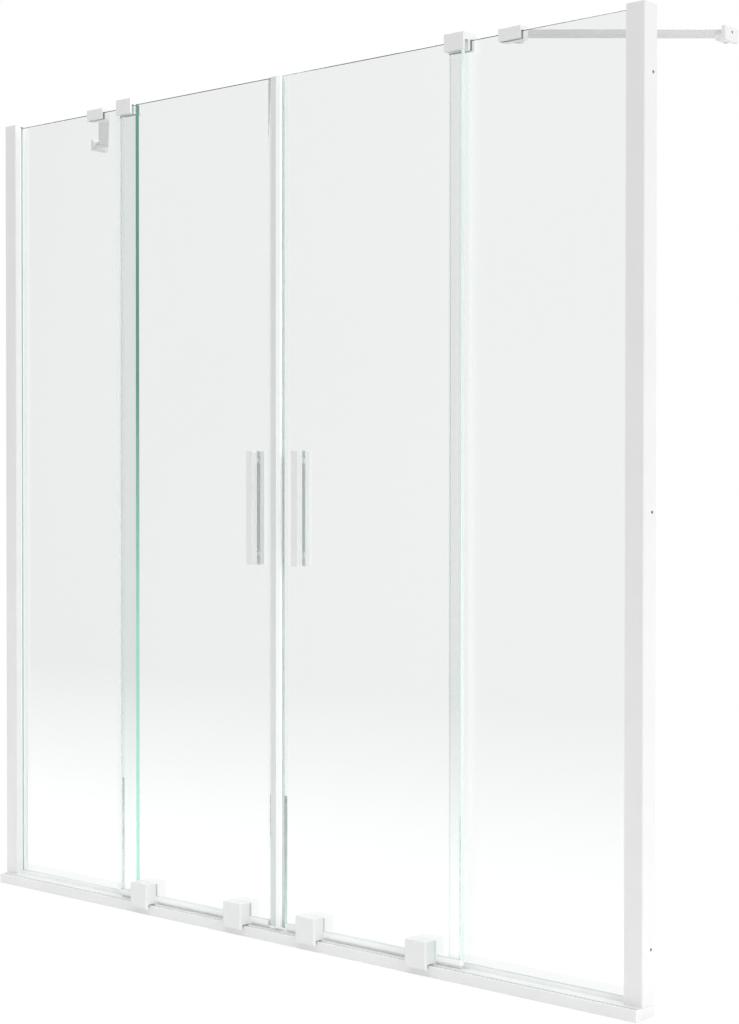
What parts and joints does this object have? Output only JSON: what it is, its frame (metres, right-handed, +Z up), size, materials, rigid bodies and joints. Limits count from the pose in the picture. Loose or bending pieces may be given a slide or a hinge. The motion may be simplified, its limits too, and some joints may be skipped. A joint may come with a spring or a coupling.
{
  "type": "sliding bath screen",
  "caption": "Glass bath screen with fixed end panels and centre doors that slide apart on a bottom rail, stayed to the side walls at the top.",
  "frame": {"origin": "centre of the bottom rail's underside, on the bath's rim", "axes": "+X along the bath to the right as seen from the room, +Y from the room across the bath, +Z up"},
  "size_m": [1.496, 0.2916, 1.5078],
  "materials": {
    "profile_metal": "satin anodised silver",
    "fitting_metal": "satin silver",
    "screw_steel": "plain stainless",
    "clear_glass": "clear toughened, polished edges",
    "clear_seal": "clear soft extrusion",
    "white_seal": "translucent white soft extrusion",
    "magnet_strip": "dark magnetic rubber",
    "grey_rubber": "grey rubber",
    "white_nylon": "white nylon"
  },
  "bodies": {
    "frame": {"bottom_rail": "profile_metal", "rail_end_caps": "profile_metal", "wall_profile_left": "profile_metal", "wall_profile_right": "profile_metal", "glass_channel_left": "profile_metal", "glass_channel_right": "profile_metal", "glass_gasket_left": "grey_rubber", "glass_gasket_right": "grey_rubber", "profile_top_caps": "profile_metal", "profile_lock_screws": "screw_steel", "fixed_glass_left": "clear_glass", "fixed_glass_right": "clear_glass", "fixed_glass_seats": "clear_seal", "top_guide_left": "fitting_metal", "top_guide_right": "fitting_metal", "guide_liner_left": "white_nylon", "guide_liner_right": "white_nylon", "stay_clamp_left": "fitting_metal", "stay_clamp_right": "fitting_metal", "stay_bar_left": "fitting_metal", "stay_bar_right": "fitting_metal", "wall_bracket_left": "fitting_metal", "wall_bracket_right": "fitting_metal", "stay_screws": "screw_steel", "glass_clamp_pads": "grey_rubber", "glass_clamp_screws": "screw_steel"},
    "door_left": {"door_glass_left": "clear_glass", "meeting_seal_left": "white_seal", "meeting_magnet_left": "magnet_strip", "overlap_seal_left": "clear_seal", "door_drip_seal_left": "clear_seal", "handle_front_left": "fitting_metal", "handle_rear_left": "fitting_metal", "handle_bushes_left": "white_nylon", "handle_screws_left": "screw_steel", "carriage_plates_left": "fitting_metal", "carriage_pads_left": "grey_rubber", "carriage_screws_left": "screw_steel", "wheel_axles_left": "screw_steel", "carriage_left_outer": "fitting_metal", "carriage_left_inner": "fitting_metal"},
    "door_right": {"door_glass_right": "clear_glass", "meeting_seal_right": "white_seal", "meeting_magnet_right": "magnet_strip", "overlap_seal_right": "clear_seal", "door_drip_seal_right": "clear_seal", "handle_front_right": "fitting_metal", "handle_rear_right": "fitting_metal", "handle_bushes_right": "white_nylon", "handle_screws_right": "screw_steel", "carriage_plates_right": "fitting_metal", "carriage_pads_right": "grey_rubber", "carriage_screws_right": "screw_steel", "wheel_axles_right": "screw_steel", "carriage_right_outer": "fitting_metal", "carriage_right_inner": "fitting_metal"},
    "roller_left_outer": {"wheel_left_outer": "white_nylon"},
    "roller_left_inner": {"wheel_left_inner": "white_nylon"},
    "roller_right_outer": {"wheel_right_outer": "white_nylon"},
    "roller_right_inner": {"wheel_right_inner": "white_nylon"}
  },
  "joints": [
    {"name": "left_door_slide", "type": "slide", "parent": "frame", "child": "door_left", "axis": [-1, 0, 0], "range_m": [0, 0.295]},
    {"name": "right_door_slide", "type": "slide", "parent": "frame", "child": "door_right", "axis": [1, 0, 0], "range_m": [0, 0.295]},
    {"name": "left_outer_roller_spin", "type": "hinge", "parent": "door_left", "child": "roller_left_outer", "pos_m": [-0.33075, -0.0185, 0.0249], "axis": [0, -1, 0], "range_deg": [-5, 1900]},
    {"name": "left_inner_roller_spin", "type": "hinge", "parent": "door_left", "child": "roller_left_inner", "pos_m": [-0.08775, -0.0185, 0.0249], "axis": [0, -1, 0], "range_deg": [-5, 1900]},
    {"name": "right_outer_roller_spin", "type": "hinge", "parent": "door_right", "child": "roller_right_outer", "pos_m": [0.33075, -0.0185, 0.0249], "axis": [0, 1, 0], "range_deg": [-5, 1900]},
    {"name": "right_inner_roller_spin", "type": "hinge", "parent": "door_right", "child": "roller_right_inner", "pos_m": [0.08775, -0.0185, 0.0249], "axis": [0, 1, 0], "range_deg": [-5, 1900]}
  ],
  "couplings": [
    {"joint": "left_outer_roller_spin", "follows": "left_door_slide", "rad_per_m": 111.11},
    {"joint": "left_inner_roller_spin", "follows": "left_door_slide", "rad_per_m": 111.11},
    {"joint": "right_outer_roller_spin", "follows": "right_door_slide", "rad_per_m": 111.11},
    {"joint": "right_inner_roller_spin", "follows": "right_door_slide", "rad_per_m": 111.11}
  ]
}
